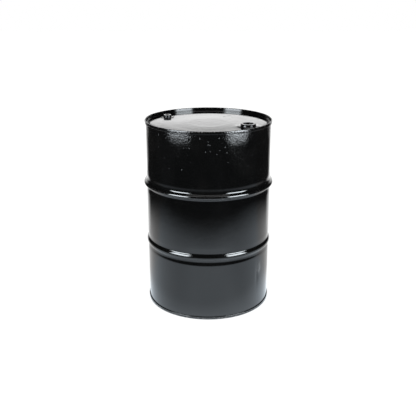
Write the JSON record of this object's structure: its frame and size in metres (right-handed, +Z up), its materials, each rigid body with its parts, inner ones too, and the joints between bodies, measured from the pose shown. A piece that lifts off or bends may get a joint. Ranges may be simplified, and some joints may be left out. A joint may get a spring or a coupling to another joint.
{
  "type": "closed-head steel drum",
  "caption": "Glossy black closed-head steel drum with rolling hoops, double-seamed chimes and a large and a small screwed bung in its top head.",
  "frame": {"origin": "on the drum's axis, at the plane that the bottom chime stands on", "axes": "+Z up along the drum's axis; the pictured front faces -Y; the large bung lies 30 degrees from +X towards -Y and the small one opposite it"},
  "size_m": [0.5998, 0.5998, 0.87],
  "materials": {
    "drum_paint": "gloss black enamel over sheet steel",
    "zinc_steel": "zinc-plated forged steel",
    "gasket_rubber": "black sealing rubber",
    "seam_compound": "cured sealing compound"
  },
  "bodies": {
    "drum": {"body_shell": "drum_paint", "top_head": "drum_paint", "bottom_head": "drum_paint", "top_seam_compound": "seam_compound", "bottom_seam_compound": "seam_compound", "large_flange": "zinc_steel", "large_flange_gasket": "gasket_rubber", "small_flange": "zinc_steel", "small_flange_gasket": "gasket_rubber"},
    "large_bung_rise": {"large_plug_gasket": "gasket_rubber"},
    "large_bung": {"large_plug": "drum_paint"},
    "small_bung_rise": {"small_plug_gasket": "gasket_rubber"},
    "small_bung": {"small_plug": "drum_paint"}
  },
  "joints": [
    {"name": "large_bung_lift", "type": "slide", "parent": "drum", "child": "large_bung_rise", "axis": [0, 0, 1], "range_m": [0, 0.00924]},
    {"name": "large_bung_turn", "type": "hinge", "parent": "large_bung_rise", "child": "large_bung", "pos_m": [0.17585, -0.10153, 0.86], "axis": [0, 0, 1], "range_deg": [0, 1440]},
    {"name": "small_bung_lift", "type": "slide", "parent": "drum", "child": "small_bung_rise", "axis": [0, 0, 1], "range_m": [0, 0.00726]},
    {"name": "small_bung_turn", "type": "hinge", "parent": "small_bung_rise", "child": "small_bung", "pos_m": [-0.19317, 0.11152, 0.86], "axis": [0, 0, 1], "range_deg": [0, 1440]}
  ],
  "couplings": [
    {"joint": "large_bung_lift", "follows": "large_bung_turn", "m_per_rad": 0.00036749},
    {"joint": "small_bung_lift", "follows": "small_bung_turn", "m_per_rad": 0.00028871}
  ]
}
